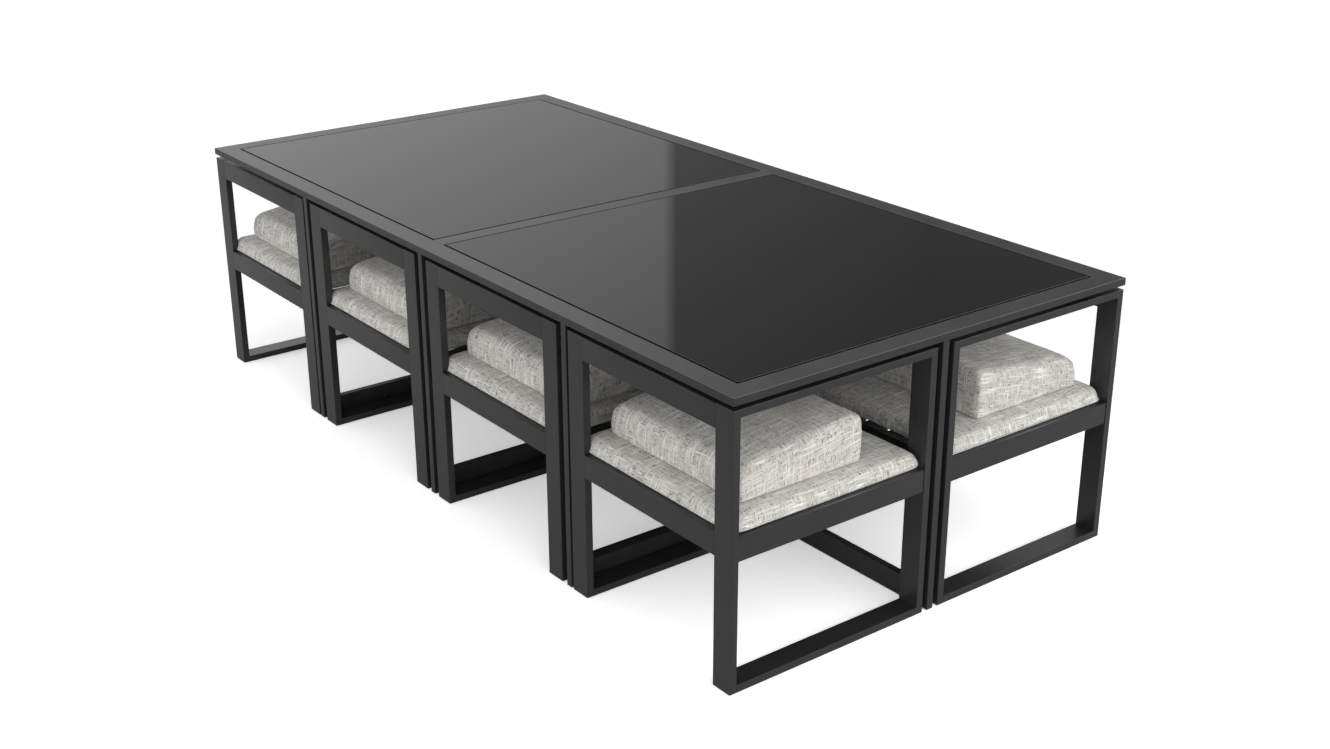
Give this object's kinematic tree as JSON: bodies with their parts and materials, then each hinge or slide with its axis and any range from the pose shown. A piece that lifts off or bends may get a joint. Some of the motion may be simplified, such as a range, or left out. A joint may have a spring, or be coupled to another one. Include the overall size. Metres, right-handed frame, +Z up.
{
  "type": "garden dining set",
  "caption": "Garden dining set: a flat-tube aluminium table with a two-pane black glass top, and cushioned armchairs that slide in flush under it.",
  "frame": {"origin": "on the floor, under the middle of the table top", "axes": "+X along the table's length, +Y across it towards the far row of chairs, +Z up"},
  "size_m": [2.6, 1.264, 0.72],
  "materials": {
    "frame_coat": "satin",
    "table_glass": "gloss",
    "cushion_fabric": "matte"
  },
  "bodies": {
    "table": {"table_top_frame": "frame_coat", "table_glass_left": "table_glass", "table_glass_right": "table_glass", "table_cross_frame_1": "frame_coat", "table_cross_frame_2": "frame_coat", "table_cross_frame_3": "frame_coat", "table_end_frame_left": "frame_coat", "table_end_frame_right": "frame_coat", "table_floor_rail_1": "frame_coat", "table_floor_rail_2": "frame_coat", "table_top_rail_1": "frame_coat", "table_top_rail_2": "frame_coat"},
    "chair_1": {"chair_1_left_side_frame": "frame_coat", "chair_1_right_side_frame": "frame_coat", "chair_1_back_rail": "frame_coat", "chair_1_seat_frame": "frame_coat", "chair_1_seat_cushion": "cushion_fabric", "chair_1_back_cushion": "cushion_fabric"},
    "chair_2": {"chair_2_left_side_frame": "frame_coat", "chair_2_right_side_frame": "frame_coat", "chair_2_back_rail": "frame_coat", "chair_2_seat_frame": "frame_coat", "chair_2_seat_cushion": "cushion_fabric", "chair_2_back_cushion": "cushion_fabric"},
    "chair_3": {"chair_3_left_side_frame": "frame_coat", "chair_3_right_side_frame": "frame_coat", "chair_3_back_rail": "frame_coat", "chair_3_seat_frame": "frame_coat", "chair_3_seat_cushion": "cushion_fabric", "chair_3_back_cushion": "cushion_fabric"},
    "chair_4": {"chair_4_left_side_frame": "frame_coat", "chair_4_right_side_frame": "frame_coat", "chair_4_back_rail": "frame_coat", "chair_4_seat_frame": "frame_coat", "chair_4_seat_cushion": "cushion_fabric", "chair_4_back_cushion": "cushion_fabric"},
    "chair_5": {"chair_5_left_side_frame": "frame_coat", "chair_5_right_side_frame": "frame_coat", "chair_5_back_rail": "frame_coat", "chair_5_seat_frame": "frame_coat", "chair_5_seat_cushion": "cushion_fabric", "chair_5_back_cushion": "cushion_fabric"},
    "chair_6": {"chair_6_left_side_frame": "frame_coat", "chair_6_right_side_frame": "frame_coat", "chair_6_back_rail": "frame_coat", "chair_6_seat_frame": "frame_coat", "chair_6_seat_cushion": "cushion_fabric", "chair_6_back_cushion": "cushion_fabric"},
    "chair_7": {"chair_7_left_side_frame": "frame_coat", "chair_7_right_side_frame": "frame_coat", "chair_7_back_rail": "frame_coat", "chair_7_seat_frame": "frame_coat", "chair_7_seat_cushion": "cushion_fabric", "chair_7_back_cushion": "cushion_fabric"},
    "chair_8": {"chair_8_left_side_frame": "frame_coat", "chair_8_right_side_frame": "frame_coat", "chair_8_back_rail": "frame_coat", "chair_8_seat_frame": "frame_coat", "chair_8_seat_cushion": "cushion_fabric", "chair_8_back_cushion": "cushion_fabric"}
  },
  "joints": [
    {"name": "chair_1_slide", "type": "slide", "parent": "table", "child": "chair_1", "axis": [0, -1, 0], "range_m": [0, 0.65]},
    {"name": "chair_2_slide", "type": "slide", "parent": "table", "child": "chair_2", "axis": [0, -1, 0], "range_m": [0, 0.65]},
    {"name": "chair_3_slide", "type": "slide", "parent": "table", "child": "chair_3", "axis": [0, -1, 0], "range_m": [0, 0.65]},
    {"name": "chair_4_slide", "type": "slide", "parent": "table", "child": "chair_4", "axis": [0, -1, 0], "range_m": [0, 0.65]},
    {"name": "chair_5_slide", "type": "slide", "parent": "table", "child": "chair_5", "axis": [0, 1, 0], "range_m": [0, 0.65]},
    {"name": "chair_6_slide", "type": "slide", "parent": "table", "child": "chair_6", "axis": [0, 1, 0], "range_m": [0, 0.65]},
    {"name": "chair_7_slide", "type": "slide", "parent": "table", "child": "chair_7", "axis": [0, 1, 0], "range_m": [0, 0.65]},
    {"name": "chair_8_slide", "type": "slide", "parent": "table", "child": "chair_8", "axis": [0, 1, 0], "range_m": [0, 0.65]}
  ]
}
